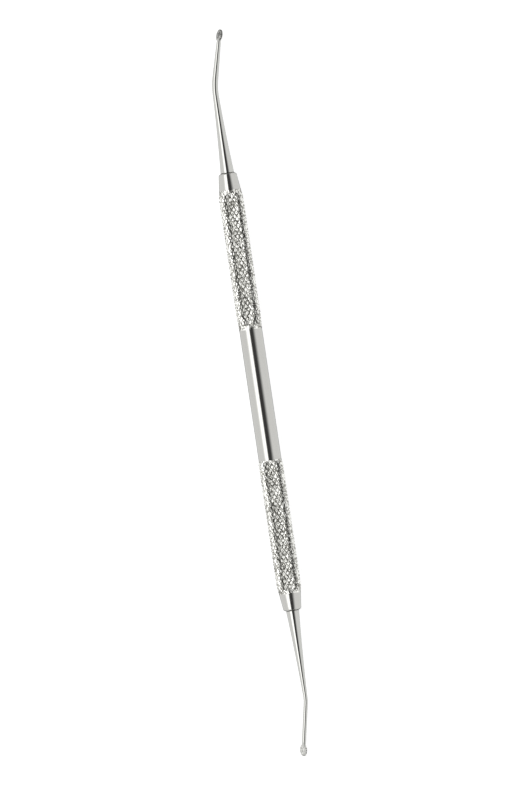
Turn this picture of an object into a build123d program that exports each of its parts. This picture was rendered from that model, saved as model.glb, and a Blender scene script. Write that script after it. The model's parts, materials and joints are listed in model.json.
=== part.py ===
from build123d import *
from math import cos, floor, pi, radians, sin, tan
import os

os.makedirs("parts", exist_ok=True)

# Handle: one turned bar along Y, in millimetres
handle_length = 105.4
bar_diameter = 5.46
handle_face_diameter = 4.22  # where the end cone would meet the front face
end_cone_length = 4.1
end_cone_angle = 7
face_edge_chamfer = 0.3
face_edge_chamfer_angle = 50  # between the chamfer and the front face

# Knurls: two sets of grooves cross and leave four-sided points between them
knurl_crest_diameter = 5.92
knurl_valley_diameter = 5.24
knurl_spacing = 1.16  # from groove to groove around the bar, over the points
knurl_pitch = 1.608  # from point to point along the bar
knurl_end_step = 0.02  # each knurl ends this far under the turned surface beside it
upper_grip_start = 15.0  # both starts are measured from the handle's middle
lower_grip_start = 16.5
knurl_lead_in = 1.7  # the points reach full height this far behind the end cone
upper_grip_fade = 3.4  # the upper knurl dies out slowly into the smooth middle
lower_grip_fade = 0.9  # the lower one stops short

# Tangs and their sockets in the handle
tang_diameter = 2.4
tang_length = 8.0
tang_chamfer = 0.3
tang_clearance = 0.01
socket_spare_depth = 0.4
drill_point_angle = 118

# Working ends: distances are measured from the handle's face
root_chamfer = 0.12
taper_middle = 9.8
upper_root_diameter = 3.2
upper_taper_diameter = 2.08
upper_bend_corner = 20.8
upper_bend_diameter = 1.42
upper_bend_angle = 15.55
upper_bend_radius = 15.8
upper_bend_roll = -29.3  # the side that the shank bends to, from +X up towards +Z
upper_neck_diameter = 1.06
upper_reach = 12.65  # from the bend's corner to the middle of the head
lower_root_diameter = 3.1
lower_taper_diameter = 1.92
lower_bend_corner = 21.7
lower_bend_diameter = 1.0
lower_bend_angle = 13.56
lower_bend_radius = 8.5
lower_bend_roll = 216.4
lower_neck_diameter = 1.0
lower_reach = 12.2

# Packing heads: thin discs with a serrated rim
head_diameter = 2.85
head_thickness = 0.46
rim_thickness = 0.3
rim_bevel_width = 0.4
neck_blend_length = 1.1  # the round neck is ground flat over this length before the disc
serration_pitch = 0.5
serration_depth = 0.17
serration_angle = 75
serrated_arc = 270  # the rest of the rim is the neck's
upper_head_turn = 179  # how far the disc's face is turned about the neck, from the bend's side
lower_head_turn = -67

# The bar lies on two neighbouring rows of knurl points, so it doesn't roll
knurl_starts = round(pi * knurl_crest_diameter / knurl_spacing)
axis_height = knurl_crest_diameter / 2 * cos(pi / (2 * knurl_starts))
handle_end = handle_length / 2
bar_axis = Axis((0, 0, axis_height), (0, 1, 0))
bar_plane = Plane.XY.offset(axis_height)


def knurl(inner_end, outer_end, inner_radius, outer_radius, fade):
    """One knurled band as a closed skin of flat facets, four to a point."""
    around = 2 * knurl_starts
    rows = round(2 * abs(outer_end - inner_end) / knurl_pitch)
    row_length = abs(outer_end - inner_end) / rows
    direction = (outer_end - inner_end) / abs(outer_end - inner_end)

    def corner(column, row):
        crest = (column + row) % 2 == 0
        full_radius = (knurl_crest_diameter if crest else knurl_valley_diameter) / 2
        from_inner = row * row_length / fade
        from_outer = (rows - row) * row_length / knurl_lead_in
        seat_radius = (inner_radius if from_inner < from_outer else outer_radius) - knurl_end_step
        radius = seat_radius + (full_radius - seat_radius) * min(1, from_inner, from_outer)
        turn = pi * (2 * column + 1) / around
        along = inner_end + direction * row * row_length
        return Vector(radius * sin(turn), along, axis_height + radius * cos(turn))

    facets = []
    for row in range(rows):
        for column in range(around):
            near = [corner(column, row), corner(column + 1, row)]
            far = [corner(column, row + 1), corner(column + 1, row + 1)]
            if (column + row) % 2 == 0:
                triangles = [(near[0], near[1], far[0]), (far[1], far[0], near[1])]
            else:
                triangles = [(near[1], far[1], near[0]), (far[0], near[0], far[1])]
            facets += [Face(Wire.make_polygon(triangle)) for triangle in triangles]
    for row in (0, rows):
        facets.append(Face(Wire.make_polygon([corner(column, row) for column in range(around)])))
    return Solid(Shell(facets))


with BuildPart() as handle:
    cone_start = handle_end - end_cone_length
    cone_radius = handle_face_diameter / 2 + end_cone_length * tan(radians(end_cone_angle))
    with BuildSketch(bar_plane):
        with BuildLine():
            Polyline(
                (0, -lower_grip_start),
                (bar_diameter / 2, -lower_grip_start),
                (bar_diameter / 2, upper_grip_start),
                (0, upper_grip_start),
                close=True,
            )
        make_face()
        for side in (1, -1):
            with BuildLine():
                Polyline(
                    (0, side * cone_start),
                    (cone_radius, side * cone_start),
                    (handle_face_diameter / 2, side * handle_end),
                    (0, side * handle_end),
                    close=True,
                )
            make_face()
    revolve(axis=bar_axis)
    along_bar = handle.edges().group_by(Axis.Y)
    face_edges = along_bar[0] + along_bar[-1]
    chamfer(face_edges, face_edge_chamfer, angle=face_edge_chamfer_angle)
    upper_knurl = knurl(upper_grip_start, cone_start, bar_diameter / 2, cone_radius, upper_grip_fade)
    lower_knurl = knurl(-lower_grip_start, -cone_start, bar_diameter / 2, cone_radius, lower_grip_fade)
    add([upper_knurl, lower_knurl])
    socket_radius = tang_diameter / 2 + tang_clearance
    socket_floor = handle_end - tang_length - socket_spare_depth
    drill_tip = socket_floor - socket_radius / tan(radians(drill_point_angle / 2))
    with BuildSketch(bar_plane):
        for side in (1, -1):
            with BuildLine():
                Polyline(
                    (0, side * drill_tip),
                    (socket_radius, side * socket_floor),
                    (socket_radius, side * handle_end),
                    (0, side * handle_end),
                    close=True,
                )
            make_face()
    revolve(axis=bar_axis, mode=Mode.SUBTRACT)
handle.part.label = "handle"
export_step(handle.part, "parts/handle.step")


def working_end(side, root_diameter, taper_diameter, bend_corner, bend_diameter, bend_angle,
                bend_radius, bend_roll, neck_diameter, reach, head_turn):
    """Tang, tapered shank, bend, neck and packing head, all of one piece."""
    outward = Vector(0, side, 0)
    bend_side = Vector(cos(radians(bend_roll)), 0, sin(radians(bend_roll)))
    seat = Vector(0, side * handle_end, axis_height)
    corner = seat + outward * bend_corner
    bend_plane = Plane(origin=seat, x_dir=outward, z_dir=outward.cross(bend_side))
    bend_setback = bend_radius * tan(radians(bend_angle / 2))
    bend_start = bend_corner - bend_setback
    neck_way = outward.rotate(Axis((0, 0, 0), bend_plane.z_dir), bend_angle)
    neck_side = bend_plane.z_dir.cross(neck_way)
    face_way = neck_side.rotate(Axis((0, 0, 0), neck_way), head_turn)
    neck_plane = Plane(origin=corner, x_dir=neck_way, z_dir=neck_way.cross(face_way))
    head_centre = corner + neck_way * reach
    head_radius = head_diameter / 2
    neck_end = reach - head_radius - neck_blend_length
    flat_edge = reach - head_radius + rim_bevel_width

    with BuildPart() as end:
        with BuildSketch(bend_plane):
            with BuildLine():
                Polyline(
                    (bend_start, 0),
                    (-tang_length, 0),
                    (-tang_length, tang_diameter / 2 - tang_chamfer),
                    (-tang_length + tang_chamfer, tang_diameter / 2),
                    (0, tang_diameter / 2),
                    (0, root_diameter / 2 - root_chamfer),
                    (root_chamfer, root_diameter / 2),
                )
                ThreePointArc(
                    (root_chamfer, root_diameter / 2),
                    (taper_middle, taper_diameter / 2),
                    (bend_start, bend_diameter / 2),
                )
                Line((bend_start, bend_diameter / 2), (bend_start, 0))
            make_face()
        revolve(axis=Axis(seat, outward))

        with BuildLine(bend_plane) as bend:
            JernArc((bend_start, 0), (1, 0), bend_radius, bend_angle)
        with BuildSketch(Plane(origin=bend.line @ 0, z_dir=outward)):
            Circle(bend_diameter / 2)
        sweep(path=bend.line)

        with BuildSketch(neck_plane):
            with BuildLine():
                Polyline(
                    (bend_setback, 0),
                    (bend_setback, bend_diameter / 2),
                    (neck_end, neck_diameter / 2),
                    (reach, neck_diameter / 2),
                    (reach, 0),
                    close=True,
                )
            make_face()
        revolve(axis=Axis(corner, neck_way))
        with BuildSketch(neck_plane):
            for face in (1, -1):
                with BuildLine():
                    Polyline(
                        (neck_end, face * neck_diameter / 2),
                        (flat_edge, face * head_thickness / 2),
                        (reach, face * head_thickness / 2),
                        (reach, face * neck_diameter),
                        (neck_end, face * neck_diameter),
                        close=True,
                    )
                make_face()
        extrude(amount=neck_diameter, both=True, mode=Mode.SUBTRACT)

        with BuildSketch(Plane(origin=head_centre, x_dir=neck_way, z_dir=neck_plane.z_dir)):
            with BuildLine():
                Polyline(
                    (0, -head_thickness / 2),
                    (head_radius - rim_bevel_width, -head_thickness / 2),
                    (head_radius, -rim_thickness / 2),
                    (head_radius, rim_thickness / 2),
                    (head_radius - rim_bevel_width, head_thickness / 2),
                    (0, head_thickness / 2),
                    close=True,
                )
            make_face()
        revolve(axis=Axis(head_centre, face_way))

        notches = floor(radians(serrated_arc) * head_radius / serration_pitch) + 1
        half_notch = serration_depth * tan(radians(serration_angle / 2))
        with BuildSketch(Plane(origin=head_centre, x_dir=neck_way, z_dir=face_way)):
            with PolarLocations(head_radius, notches, -serrated_arc / 2, serrated_arc):
                Polygon(
                    (-serration_depth, 0),
                    (serration_depth, -2 * half_notch),
                    (serration_depth, 2 * half_notch),
                    align=None,
                )
        extrude(amount=head_thickness, both=True, mode=Mode.SUBTRACT)
    return end.part


upper_end = working_end(
    1, upper_root_diameter, upper_taper_diameter, upper_bend_corner, upper_bend_diameter, upper_bend_angle,
    upper_bend_radius, upper_bend_roll, upper_neck_diameter, upper_reach, upper_head_turn,
)
upper_end.label = "upper_working_end"
export_step(upper_end, "parts/upper_working_end.step")

lower_end = working_end(
    -1, lower_root_diameter, lower_taper_diameter, lower_bend_corner, lower_bend_diameter, lower_bend_angle,
    lower_bend_radius, lower_bend_roll, lower_neck_diameter, lower_reach, lower_head_turn,
)
lower_end.label = "lower_working_end"
export_step(lower_end, "parts/lower_working_end.step")
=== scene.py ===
import json
from math import atan2, cos, floor, hypot, pi, radians, sin, tan

import bmesh
import bpy
from mathutils import Matrix, Vector, noise


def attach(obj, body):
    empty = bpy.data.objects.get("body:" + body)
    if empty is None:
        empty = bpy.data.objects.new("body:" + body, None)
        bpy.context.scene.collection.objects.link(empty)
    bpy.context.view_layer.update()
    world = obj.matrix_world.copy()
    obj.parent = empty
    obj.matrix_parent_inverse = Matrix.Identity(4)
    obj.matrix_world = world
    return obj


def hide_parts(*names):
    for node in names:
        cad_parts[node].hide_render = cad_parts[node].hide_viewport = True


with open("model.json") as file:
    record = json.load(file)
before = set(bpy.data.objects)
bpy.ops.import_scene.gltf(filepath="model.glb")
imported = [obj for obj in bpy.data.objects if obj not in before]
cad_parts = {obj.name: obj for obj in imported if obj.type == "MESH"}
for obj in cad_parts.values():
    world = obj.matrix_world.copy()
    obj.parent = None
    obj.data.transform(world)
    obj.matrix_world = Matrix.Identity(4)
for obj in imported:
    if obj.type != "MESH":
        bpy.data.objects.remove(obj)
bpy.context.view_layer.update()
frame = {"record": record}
scene = bpy.context.scene

# Camera: it looks straight down at the instrument through a long lens. The instrument
# leans to the left in the picture, so the camera is turned the other way.
picture_length = 0.1909  # metres of floor along the picture's long side
sensor_width = 36.0  # millimetres
lens_length = 200.0
camera_turn = radians(-8.477)
picture_centre = (-0.00004, -0.00198)
axis_height = frame["record"]["mounts"][0]["pos_m"][2]

camera_data = bpy.data.cameras.new("camera")
camera_data.sensor_width = sensor_width
camera_data.lens = lens_length
camera = bpy.data.objects.new("camera", camera_data)
camera.location = (*picture_centre, axis_height + picture_length * lens_length / sensor_width)
camera.rotation_euler = (0, 0, camera_turn)
scene.collection.objects.link(camera)
scene.camera = camera
scene.view_settings.view_transform = "Standard"


def linear(colour):
    """A #RRGGBB colour as linear red, green, blue and alpha."""
    parts = [int(colour[i:i + 2], 16) / 255 for i in (1, 3, 5)]
    return (*[p / 12.92 if p <= 0.04045 else ((p + 0.055) / 1.055) ** 2.4 for p in parts], 1.0)


def add(tree, kind, links=(), **settings):
    """One node with its settings. Each link is an input of it and the socket that feeds it."""
    node = tree.nodes.new(kind)
    for name, value in settings.items():
        if name.startswith("in_"):
            node.inputs[name[3:].replace("_", " ")].default_value = value
        else:
            setattr(node, name, value)
    for entry, source in links:
        tree.links.new(source, node.inputs[entry])
    return node


# Light tent: a plain tunnel of white cloth over the instrument and along it, with one strip
# lamp on the left and a gap for the lens above. The cloth is the same on both sides, and
# about as bright as the paper. Angles run from straight up towards the right, in degrees,
# and the tones are shares of the lamp's light.
lamp_strip_strength = 2.0
tent_tones = (
    (-180, -160, "#707070"),  # the bar's own shade on the paper
    (-140, -60, "#B8B8B8"),  # cloth on the left
    (-35, -20, "#FFFFFF"),  # strip lamp
    (-10, 15, "#303030"),  # gap for the lens
    (50, 140, "#B8B8B8"),  # cloth on the right
    (160, 180, "#707070"),  # the shade again
)
opening_from, opening_full = 0.82, 0.97  # the tunnel is open, and dark, at its ends
opening_tone = 0.25

world = bpy.data.worlds.new("light_tent")
scene.world = world
world.use_nodes = True
tree = world.node_tree
tree.nodes.clear()
place = add(tree, "ShaderNodeTexCoord")
axes = add(tree, "ShaderNodeSeparateXYZ", [("Vector", place.outputs["Generated"])])
angle = add(tree, "ShaderNodeMath", [
    (0, axes.outputs["X"]), (1, axes.outputs["Z"])], operation="ARCTAN2")
turn = add(tree, "ShaderNodeMapRange", [("Value", angle.outputs[0])],
           in_From_Min=-pi, in_From_Max=pi)
ramp = add(tree, "ShaderNodeValToRGB", [("Fac", turn.outputs[0])])
ramp.color_ramp.interpolation = "EASE"
stops = ramp.color_ramp.elements
stops.remove(stops[-1])
places = [(degrees, tone) for first, last, tone in tent_tones for degrees in (first, last)]
for number, (degrees, tone) in enumerate(places):
    stop = stops[0] if number == 0 else stops.new((degrees + 180) / 360)
    stop.color = linear(tone)
along = add(tree, "ShaderNodeMath", [(0, axes.outputs["Y"])], operation="ABSOLUTE")
opening = add(tree, "ShaderNodeMapRange", [("Value", along.outputs[0])],
              interpolation_type="SMOOTHSTEP", in_From_Min=opening_from, in_From_Max=opening_full,
              in_To_Min=lamp_strip_strength, in_To_Max=lamp_strip_strength * opening_tone)
tent = add(tree, "ShaderNodeBackground", [
    ("Color", ramp.outputs["Color"]), ("Strength", opening.outputs[0])])
paper = add(tree, "ShaderNodeBackground", in_Color=linear("#FFFFFF"))
rays = add(tree, "ShaderNodeLightPath")
seen = add(tree, "ShaderNodeMixShader", [
    (0, rays.outputs["Is Camera Ray"]), (1, tent.outputs[0]), (2, paper.outputs[0])])
add(tree, "ShaderNodeOutputWorld", [("Surface", seen.outputs[0])])

# Floor: smooth white paper that shows only a soft shadow. The steel mirrors the tent's
# cloth, which runs on under the instrument, in its place.
floor_half = 2.0  # metres
floor_glow = 0.91
mesh = bpy.data.meshes.new("floor")
bm = bmesh.new()
bmesh.ops.create_grid(bm, x_segments=1, y_segments=1, size=floor_half)
bm.to_mesh(mesh)
bm.free()
floor_sheet = bpy.data.objects.new("floor", mesh)
scene.collection.objects.link(floor_sheet)
material = bpy.data.materials.new("white_paper")
material.use_nodes = True
tree = material.node_tree
tree.nodes.clear()
matte = add(tree, "ShaderNodeBsdfDiffuse", in_Color=linear("#8C8C8C"))
glow = add(tree, "ShaderNodeEmission", in_Color=linear("#FFFFFF"), in_Strength=floor_glow)
clear = add(tree, "ShaderNodeBsdfTransparent")
rays = add(tree, "ShaderNodeLightPath")
both = add(tree, "ShaderNodeAddShader", [(0, matte.outputs[0]), (1, glow.outputs[0])])
to_camera = add(tree, "ShaderNodeMixShader", [
    (0, rays.outputs["Is Camera Ray"]), (1, matte.outputs[0]), (2, both.outputs[0])])
to_steel = add(tree, "ShaderNodeMixShader", [
    (0, rays.outputs["Is Glossy Ray"]), (1, to_camera.outputs[0]), (2, clear.outputs[0])])
add(tree, "ShaderNodeOutputMaterial", [("Surface", to_steel.outputs[0])])
floor_sheet.data.materials.append(material)

# Handle: one bar of stainless steel, turned and polished, with a bored socket in each end.
# Hardened wheels press the two diamond knurls into it. The upper knurl dies out slowly into
# the smooth middle and the lower one stops short, and both reach the cones at the bar's ends.
mm = 0.001
bar_radius = 2.73
handle_end = 52.7
cone_start = 48.6
cone_angle = radians(7)
face_radius = 2.11  # where the cone would meet the front face
edge_along, edge_across = 0.3, 0.3575  # the broken edge of the front face
edge_round = 0.1
socket_radius = 1.21
socket_floor = 44.3
drill_point_angle = radians(118)
drill_tip = socket_floor - socket_radius / tan(drill_point_angle / 2)
skin_radius = 2.0  # the socket lies within this, and the outer skin of the grips beyond it
crest_radius = 2.96
valley_radius = 2.62
knurl_starts = 16
point_steps = 10  # mesh steps over one point, along the bar and around it
middle_cuts, cone_cuts = 24, 3  # mesh cuts along the smooth middle and along each cone
knurl_first_turn = pi / (2 * knurl_starts)
grips = ((15.0, 48.6, 21, 3.4), (-16.5, -48.6, 20, 0.9))  # inner end, outer end, points, fade
lead_in = 1.7
groove_rise = 4  # the grooves reach full depth in a quarter of the points' lead-in
point_roundness = 1.2  # 1 would be a sharp pyramid
point_blunting = 1.06  # 1 would leave the points their tips
rough_size, rough_depth = 0.3, 0.014  # the wheels' worn teeth leave the points uneven
rough_shift = 0.2  # the unevenness takes off a little more than it adds
uneven_size, uneven_share = 0.9, 0.14
tolerance = 1e-3
sharp_angle = radians(32)  # steeper edges than this stay sharp to the eye


def cone_radius(distance):
    return face_radius + (handle_end - distance) * tan(cone_angle)


bm = bmesh.new()
outline = [
    (0, drill_tip),
    (socket_radius, socket_floor),
    (socket_radius, handle_end),
    (face_radius - edge_across, handle_end),
    (cone_radius(handle_end - edge_along), handle_end - edge_along),
    (cone_radius(cone_start), cone_start),
]
outline = [(radius, -along) for radius, along in outline] + [
    (bar_radius, grips[1][0]), (bar_radius, grips[0][0])] + outline[::-1]
start_way = Vector((sin(knurl_first_turn), 0, cos(knurl_first_turn)))
corners = [bm.verts.new(start_way * radius + Vector((0, along, 0))) for radius, along in outline]
sides = [bm.edges.new(pair) for pair in zip(corners, corners[1:])]
for number, (inner, outer, points, fade) in zip((7, 5), grips):
    bmesh.ops.subdivide_edges(bm, edges=[sides[number]], cuts=points * point_steps - 1)
bmesh.ops.subdivide_edges(bm, edges=[sides[6]], cuts=middle_cuts)
for number in (4, 8):
    bmesh.ops.subdivide_edges(bm, edges=[sides[number]], cuts=cone_cuts)
bmesh.ops.spin(bm, geom=bm.verts[:] + bm.edges[:], axis=(0, 1, 0), angle=2 * pi,
               steps=knurl_starts * point_steps, use_merge=True)
bmesh.ops.remove_doubles(bm, verts=bm.verts, dist=1e-4)
bmesh.ops.recalc_face_normals(bm, faces=bm.faces)
broken = []
for edge in bm.edges:
    radii = [hypot(v.co.x, v.co.z) for v in edge.verts]
    places = [abs(v.co.y) for v in edge.verts]
    same_ring = abs(radii[0] - radii[1]) < tolerance and abs(places[0] - places[1]) < tolerance
    at_front = places[0] > handle_end - edge_along - tolerance
    if same_ring and at_front and radii[0] > socket_radius + tolerance:
        broken.append(edge)
bmesh.ops.bevel(bm, geom=broken, offset=edge_round, offset_type="OFFSET", affect="EDGES",
                segments=3, profile=0.5, material=-1)

groove_layer = bm.verts.layers.float.new("groove")
for vertex in bm.verts:
    radius = hypot(vertex.co.x, vertex.co.z)
    for inner, outer, points, fade in grips:
        from_inner = (vertex.co.y - inner) / (outer - inner)
        if radius < skin_radius or not 0 < from_inner < 1:
            continue
        around = (atan2(vertex.co.x, vertex.co.z) - knurl_first_turn) / (2 * pi) * knurl_starts
        heights = []
        for phase in (around + from_inner * points, around - from_inner * points):
            from_point = 2 * abs(phase - floor(phase + 0.5))
            heights.append(point_blunting * (1 - from_point ** point_roundness))
        height = min(1, *heights)
        height *= 1 - uneven_share * (0.5 + 0.5 * noise.noise(vertex.co / uneven_size))
        length = abs(outer - inner)
        inner_share = from_inner * length / fade
        outer_share = (1 - from_inner) * length / lead_in
        reach = min(1, inner_share, outer_share)
        groove_reach = min(1, groove_rise * reach)
        seat = bar_radius if inner_share < outer_share else cone_radius(cone_start)
        crest = seat + (crest_radius - seat) * reach
        valley = seat + (valley_radius - seat) * groove_reach
        new_radius = valley + (crest - valley) * height
        roughness = noise.noise(vertex.co / rough_size) - rough_shift
        new_radius += rough_depth * groove_reach * roughness
        vertex[groove_layer] = (1 - height) * groove_reach
        vertex.co.x *= new_radius / radius
        vertex.co.z *= new_radius / radius

for face in bm.faces[:]:
    face.smooth = True
    radii = [hypot(v.co.x, v.co.z) for v in face.verts]
    middle = sum(v.co.y for v in face.verts) / len(face.verts)
    on_grip = any(min(inner, outer) < middle < max(inner, outer) for inner, outer, points, fade in grips)
    if min(radii) < skin_radius or not on_grip:
        continue
    face.material_index = 1
    face.smooth = False
    a, b, c, d = face.verts
    level = abs(radii[0] - radii[2]) < abs(radii[1] - radii[3])
    bmesh.utils.face_split(face, *((a, c) if level else (b, d)))


def finished(bm, name):
    """The bmesh, modelled in millimetres about the bar's axis, as an object in its place."""
    bmesh.ops.transform(bm, matrix=Matrix.Translation((0, 0, axis_height)) @ Matrix.Scale(mm, 4),
                        verts=bm.verts)
    mesh = bpy.data.meshes.new(name)
    bm.to_mesh(mesh)
    bm.free()
    mesh.set_sharp_from_angle(angle=sharp_angle)
    piece = bpy.data.objects.new(name, mesh)
    scene.collection.objects.link(piece)
    return piece


def metal(name):
    """A new metallic material with its node tree and its shader."""
    material = bpy.data.materials.new(name)
    material.use_nodes = True
    shader = material.node_tree.nodes["Principled BSDF"]
    shader.inputs["Metallic"].default_value = 1.0
    return material, material.node_tree, shader


handle = finished(bm, "knurled_handle")
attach(handle, "root")
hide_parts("handle")

# Turned stainless steel, polished after turning: near mirror, with fine rings around the bar
# from the cloth, drawn 0.4 mm apart where the real ones are finer, and slow hazy patches.
material, tree, shader = metal("turned_and_polished_stainless_steel")
place = add(tree, "ShaderNodeTexCoord")
rings = add(tree, "ShaderNodeMapping", [("Vector", place.outputs["Object"])],
            in_Scale=(60, 2500, 60))
lines = add(tree, "ShaderNodeTexNoise", [("Vector", rings.outputs[0])], in_Scale=1.0, in_Detail=2.0)
bump = add(tree, "ShaderNodeBump", [("Height", lines.outputs["Fac"])],
           in_Strength=0.25, in_Distance=3e-6)
tree.links.new(bump.outputs[0], shader.inputs["Normal"])
patches = add(tree, "ShaderNodeTexNoise", [("Vector", place.outputs["Object"])],
              in_Scale=140.0, in_Detail=3.0)
haze = add(tree, "ShaderNodeMapRange", [("Value", patches.outputs["Fac"])],
           in_From_Min=0.35, in_From_Max=0.65, in_To_Min=0.08, in_To_Max=0.14)
tree.links.new(haze.outputs[0], shader.inputs["Roughness"])
tone = add(tree, "ShaderNodeMix", [("Factor", patches.outputs["Fac"])], data_type="RGBA")
tone.inputs[6].default_value = linear("#CDCDC8")
tone.inputs[7].default_value = linear("#C8C7C4")
tree.links.new(tone.outputs[2], shader.inputs["Base Color"])
handle.data.materials.append(material)

# Knurled stainless steel: the pressed points keep a broken, scaly skin that glints at random,
# grains of about 0.3 mm, and the grooves between them are painted dark grey in their depths:
# a dull film, and painted shade where the deep grooves lie in shadow.
material, tree, shader = metal("pressed_knurl_stainless_steel")
place = add(tree, "ShaderNodeTexCoord")
grains = add(tree, "ShaderNodeTexNoise", [("Vector", place.outputs["Object"])],
             in_Scale=2700.0, in_Detail=2.0)
scales = add(tree, "ShaderNodeTexVoronoi", [("Vector", place.outputs["Object"])], in_Scale=3300.0)
bump = add(tree, "ShaderNodeBump", [("Height", grains.outputs["Fac"])],
           in_Strength=1.0, in_Distance=9e-5)
tree.links.new(bump.outputs[0], shader.inputs["Normal"])
shader.inputs["Specular Tint"].default_value = linear("#6E6E6A")
depth = add(tree, "ShaderNodeAttribute", attribute_name="groove")
# The grooves' depth sets the dark grey, a dull film and painted shade in the grooves.
groove_film_and_painted_shade = add(tree, "ShaderNodeMapRange", [("Value", depth.outputs["Fac"])],
           interpolation_type="SMOOTHSTEP", in_From_Min=0.74, in_From_Max=0.98)
flakes = add(tree, "ShaderNodeMapRange", [("Value", scales.outputs["Color"])],
             interpolation_type="SMOOTHSTEP", in_From_Min=0.38, in_From_Max=0.48)
skin = add(tree, "ShaderNodeMix", [("Factor", flakes.outputs[0])], data_type="RGBA")
skin.inputs[6].default_value = linear("#9C9B95")
skin.inputs[7].default_value = linear("#FFFFFA")
tone = add(tree, "ShaderNodeMix", [("Factor", groove_film_and_painted_shade.outputs[0]), (6, skin.outputs[2])],
           data_type="RGBA")
tone.inputs[7].default_value = linear("#5E5D59")
tree.links.new(tone.outputs[2], shader.inputs["Base Color"])
dulling = add(tree, "ShaderNodeMapRange", [("Value", groove_film_and_painted_shade.outputs[0])],
              in_To_Min=0.07, in_To_Max=0.3)
tree.links.new(dulling.outputs[0], shader.inputs["Roughness"])
handle.data.materials.append(material)

# Working ends: each is forged and ground from one bar of stainless steel. A tang sits in the
# handle's socket, the shank tapers to a bend, and the neck is ground flat into a thin disc
# with filed notches around its rim, painted dark inside as shade. Polished all over, with
# blasted faces on the disc, painted dark as shade on the upper disc and pale as light on the lower.
tang_radius, tang_length, tang_edge = 1.2, 8.0, 0.3
root_chamfer = 0.12
taper_middle = 9.8
head_radius = 1.425
head_half, rim_half, rim_bevel = 0.23, 0.15, 0.4
neck_blend = 1.1
notches = 14
notch_pitch = radians(270 / notches)
notch_first = radians(-135)
notch_depth, notch_half_width = 0.17, 0.13
notch_shade_share = 0.3  # a rim point cut deeper than this share of a notch takes painted shade
neck_inset = 0.5  # the neck ends inside the disc, this far before its middle
face_gap, flat_margin = 0.02, 0.01  # inside the disc the neck stays just under its faces
shank_steps, disc_steps = 64, 224  # mesh steps around the shank and around the disc
bevel_cuts = 3
shank_cuts = ((5, 40), (6, 24), (7, 8), (8, 10))  # taper, bend, neck and its flat
seam_weld = 0.003
ends = {
    # side, root diameter, taper diameter, bend corner, bend diameter, bend angle, bend radius,
    # bend roll, neck diameter, reach, head turn, and the two tones of the disc's faces, painted
    # dark as shade on the upper disc and pale as light on the lower
    "upper_working_end": (
        1, 3.2, 2.08, 20.8, 1.42, 15.55, 15.8, -29.3, 1.06, 12.65, 179, "#545451", "#CACAC6"),
    "lower_working_end": (
        -1, 3.1, 1.92, 21.7, 1.0, 13.56, 8.5, 216.4, 1.0, 12.2, -67, "#B4B4B0", "#ECECE8"),
}

# Ground along the shank and then mirror-polished, which leaves long faint strokes in the
# mirror. A dull, dark ring is painted where the tang enters the handle: painted shade
# standing for the shadow in the joint's gap.
polished, tree, shader = metal("ground_and_mirror_polished_stainless_steel")
shader.inputs["Base Color"].default_value = linear("#CCCCC8")
place = add(tree, "ShaderNodeTexCoord")
strokes = add(tree, "ShaderNodeMapping", [("Vector", place.outputs["Object"])],
              in_Scale=(2200, 110, 2200))
lines = add(tree, "ShaderNodeTexNoise", [("Vector", strokes.outputs[0])],
            in_Scale=1.0, in_Detail=3.0)
bump = add(tree, "ShaderNodeBump", [("Height", lines.outputs["Fac"])],
           in_Strength=0.4, in_Distance=1.2e-5)
tree.links.new(bump.outputs[0], shader.inputs["Normal"])
haze = add(tree, "ShaderNodeMapRange", [("Value", lines.outputs["Fac"])],
           in_From_Min=0.3, in_From_Max=0.7, in_To_Min=0.05, in_To_Max=0.1)
tree.links.new(haze.outputs[0], shader.inputs["Roughness"])

# Painted shade: a dull dark material for the seam's gap and for the notches in the discs.
seam, tree, shader = metal("brazed_seam")
shader.inputs["Roughness"].default_value = 0.5
place = add(tree, "ShaderNodeTexCoord")
spots = add(tree, "ShaderNodeTexNoise", [("Vector", place.outputs["Object"])], in_Scale=1500.0)
tone = add(tree, "ShaderNodeMix", [("Factor", spots.outputs["Fac"])], data_type="RGBA")
tone.inputs[6].default_value = linear("#2E2C29")
tone.inputs[7].default_value = linear("#4A4843")
tree.links.new(tone.outputs[2], shader.inputs["Base Color"])

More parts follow.
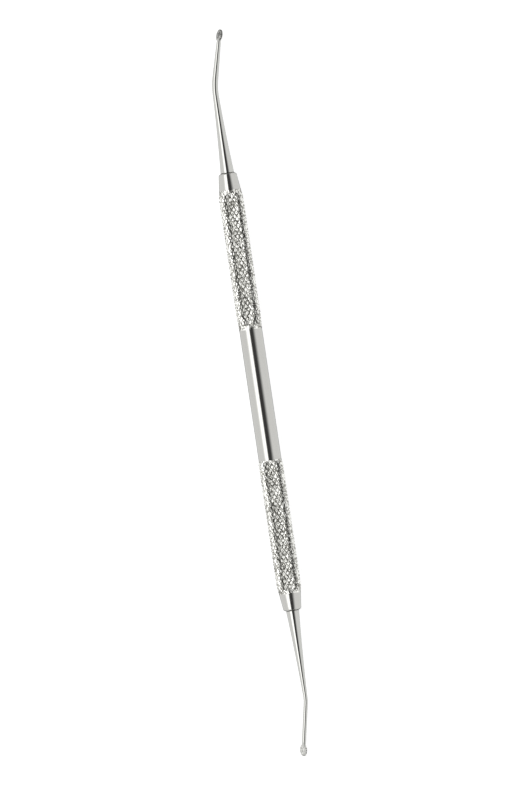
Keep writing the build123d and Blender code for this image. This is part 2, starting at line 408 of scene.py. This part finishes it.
for name, (side, root, taper, corner, bend, bend_angle, bend_radius, roll, neck, reach, head_turn,
           face_tone, pit_tone) in ends.items():
    bend_angle, roll, head_turn = radians(bend_angle), radians(roll), radians(head_turn)
    setback = bend_radius * tan(bend_angle / 2)
    bend_start = corner - setback
    bend_end = bend_start + bend_radius * bend_angle
    head_place = bend_end + reach - setback
    neck_end = head_place - head_radius - neck_blend
    flat_edge = head_place - head_radius + rim_bevel

    bm = bmesh.new()
    outline = [
        (0, -tang_length),
        (tang_radius - tang_edge, -tang_length),
        (tang_radius, -tang_length + tang_edge),
        (tang_radius, 0),
        (root / 2 - root_chamfer, 0),
        (root / 2, root_chamfer),
        (bend / 2, bend_start),
        (bend / 2, bend_end),
        (neck / 2, neck_end),
        (neck / 2, flat_edge),
        (neck / 2, head_place - neck_inset),
        (0, head_place - neck_inset),
    ]
    corners = [bm.verts.new((radius, distance, 0)) for radius, distance in outline]
    sides = [bm.edges.new(pair) for pair in zip(corners, corners[1:])]
    for number, cuts in shank_cuts:
        bmesh.ops.subdivide_edges(bm, edges=[sides[number]], cuts=cuts)
    for vertex in bm.verts:
        distance = vertex.co.y
        if root_chamfer < distance < bend_start:
            spots = (root_chamfer, taper_middle, bend_start)
            sizes = (root / 2, taper / 2, bend / 2)
            vertex.co.x = sum(
                sizes[i] * (distance - spots[i - 1]) * (distance - spots[i - 2])
                / ((spots[i] - spots[i - 1]) * (spots[i] - spots[i - 2])) for i in range(3))
    bmesh.ops.spin(bm, geom=bm.verts[:] + bm.edges[:], axis=(0, 1, 0), angle=2 * pi,
                   steps=shank_steps, use_merge=True)
    bmesh.ops.remove_doubles(bm, verts=bm.verts, dist=1e-4)
    face_way = Vector((cos(head_turn), 0, -sin(head_turn)))
    for vertex in bm.verts:
        if vertex.co.y > neck_end:
            share = min(1, (vertex.co.y - neck_end) / (flat_edge - neck_end))
            limit = neck / 2 + (head_half - neck / 2) * share
            if vertex.co.y > flat_edge + flat_margin:
                limit -= face_gap
            off = vertex.co.dot(face_way)
            if abs(off) > limit:
                vertex.co -= face_way * (off - limit * (1 if off > 0 else -1))
    for face in bm.faces:
        face.smooth = True
        places = [v.co.y for v in face.verts]
        # The root's chamfer takes the dark seam material, painted shade in the joint's gap.
        if min(places) > -tolerance and max(places) < root_chamfer + tolerance:
            face.material_index = 1
    bmesh.ops.recalc_face_normals(bm, faces=bm.faces)
    shank_mesh = bpy.data.meshes.new(name)
    bm.to_mesh(shank_mesh)
    bm.free()

    bm = bmesh.new()
    outline = [(0, -head_half), (head_radius - rim_bevel, -head_half), (head_radius, -rim_half),
               (head_radius, rim_half), (head_radius - rim_bevel, head_half), (0, head_half)]
    first_way = Vector((cos(notch_first), sin(notch_first), 0))
    corners = [bm.verts.new(first_way * radius + Vector((0, 0, height))) for radius, height in outline]
    sides = [bm.edges.new(pair) for pair in zip(corners, corners[1:])]
    bmesh.ops.subdivide_edges(bm, edges=[sides[1], sides[3]], cuts=bevel_cuts)
    bmesh.ops.spin(bm, geom=bm.verts[:] + bm.edges[:], axis=(0, 0, 1), angle=2 * pi,
                   steps=disc_steps, use_merge=True)
    bmesh.ops.remove_doubles(bm, verts=bm.verts, dist=1e-5)
    notch_shade_points = set()
    for vertex in bm.verts:
        radius = hypot(vertex.co.x, vertex.co.y)
        past_first = (atan2(vertex.co.y, vertex.co.x) - notch_first) % (2 * pi)
        nearest = min(notches - 1, floor(past_first / notch_pitch + 0.5))
        away = abs(past_first - nearest * notch_pitch)
        if past_first > 2 * pi - notch_pitch / 2:
            away = 2 * pi - past_first
        cut = notch_depth * max(0, 1 - away * head_radius / notch_half_width)
        share = max(0, (radius - head_radius + rim_bevel) / rim_bevel)
        if cut and share:
            if cut * share > notch_shade_share * notch_depth:
                notch_shade_points.add(vertex)
            new_radius = radius - cut * share
            vertex.co.x *= new_radius / radius
            vertex.co.y *= new_radius / radius
            if share < 0.999:
                vertex.co.z *= 1 - 0.9 * cut * share
    # Faces with all their points deep in a notch take the dark seam material: painted shade in the
    # notches.
    for face in bm.faces:
        face.smooth = False
        face.material_index = 1 if notch_shade_points.issuperset(face.verts) else 2
    bmesh.ops.recalc_face_normals(bm, faces=bm.faces)
    neck_way = Vector((0, 1, 0))
    head_frame = Matrix((neck_way, face_way.cross(neck_way), face_way)).transposed().to_4x4()
    bmesh.ops.transform(bm, matrix=Matrix.Translation((0, head_place, 0)) @ head_frame, verts=bm.verts)
    disc_mesh = bpy.data.meshes.new("disc")
    bm.to_mesh(disc_mesh)
    bm.free()

    # Each disc gets its own copy of the blasted steel, its tones painted darker or paler as painted
    # light and shade.
    blasted, tree, shader = metal("blasted_stainless_steel_" + name.split("_")[0])
    shader.inputs["Roughness"].default_value = 0.34
    place = add(tree, "ShaderNodeTexCoord")
    pits = add(tree, "ShaderNodeTexNoise", [("Vector", place.outputs["Object"])],
               in_Scale=2400.0, in_Detail=3.0)
    bump = add(tree, "ShaderNodeBump", [("Height", pits.outputs["Fac"])],
               in_Strength=1.0, in_Distance=6e-5)
    tree.links.new(bump.outputs[0], shader.inputs["Normal"])
    spread = add(tree, "ShaderNodeMapRange", [("Value", pits.outputs["Fac"])],
                 in_From_Min=0.4, in_From_Max=0.6)
    tone = add(tree, "ShaderNodeMix", [("Factor", spread.outputs[0])], data_type="RGBA")
    tone.inputs[6].default_value = linear(face_tone)
    tone.inputs[7].default_value = linear(pit_tone)
    tree.links.new(tone.outputs[2], shader.inputs["Base Color"])

    shank = bpy.data.objects.new("shank", shank_mesh)
    disc = bpy.data.objects.new("disc", disc_mesh)
    for piece in (shank, disc):
        scene.collection.objects.link(piece)
        for steel in (polished, seam, blasted):
            piece.data.materials.append(steel)
    union = shank.modifiers.new("union", "BOOLEAN")
    union.operation = "UNION"
    union.solver = "EXACT"
    union.object = disc
    joined = bpy.data.meshes.new_from_object(shank.evaluated_get(bpy.context.evaluated_depsgraph_get()))
    bpy.data.objects.remove(shank)
    bpy.data.objects.remove(disc)

    bm = bmesh.new()
    bm.from_mesh(joined)
    bmesh.ops.remove_doubles(bm, verts=bm.verts, dist=seam_weld)  # slivers where disc and neck meet
    bmesh.ops.dissolve_degenerate(bm, edges=bm.edges, dist=seam_weld)
    bmesh.ops.triangulate(bm, faces=[face for face in bm.faces if len(face.verts) > 4])
    for vertex in bm.verts:
        past = vertex.co.y - bend_start
        if past > 0:
            swing = min(past / bend_radius, bend_angle)
            beyond = max(0, past - bend_radius * bend_angle)
            arm = bend_radius - vertex.co.x
            vertex.co.x = bend_radius - arm * cos(swing) + beyond * sin(swing)
            vertex.co.y = bend_start + arm * sin(swing) + beyond * cos(swing)
    outward = Vector((0, side, 0))
    bend_way = Vector((cos(roll), 0, sin(roll)))
    way = Matrix((bend_way, outward, bend_way.cross(outward))).transposed().to_4x4()
    bmesh.ops.transform(bm, matrix=Matrix.Translation(outward * handle_end) @ way, verts=bm.verts)
    end = finished(bm, name + "_steel")
    for steel in (polished, seam, blasted):
        end.data.materials.append(steel)
    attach(end, "root")
    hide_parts(name)
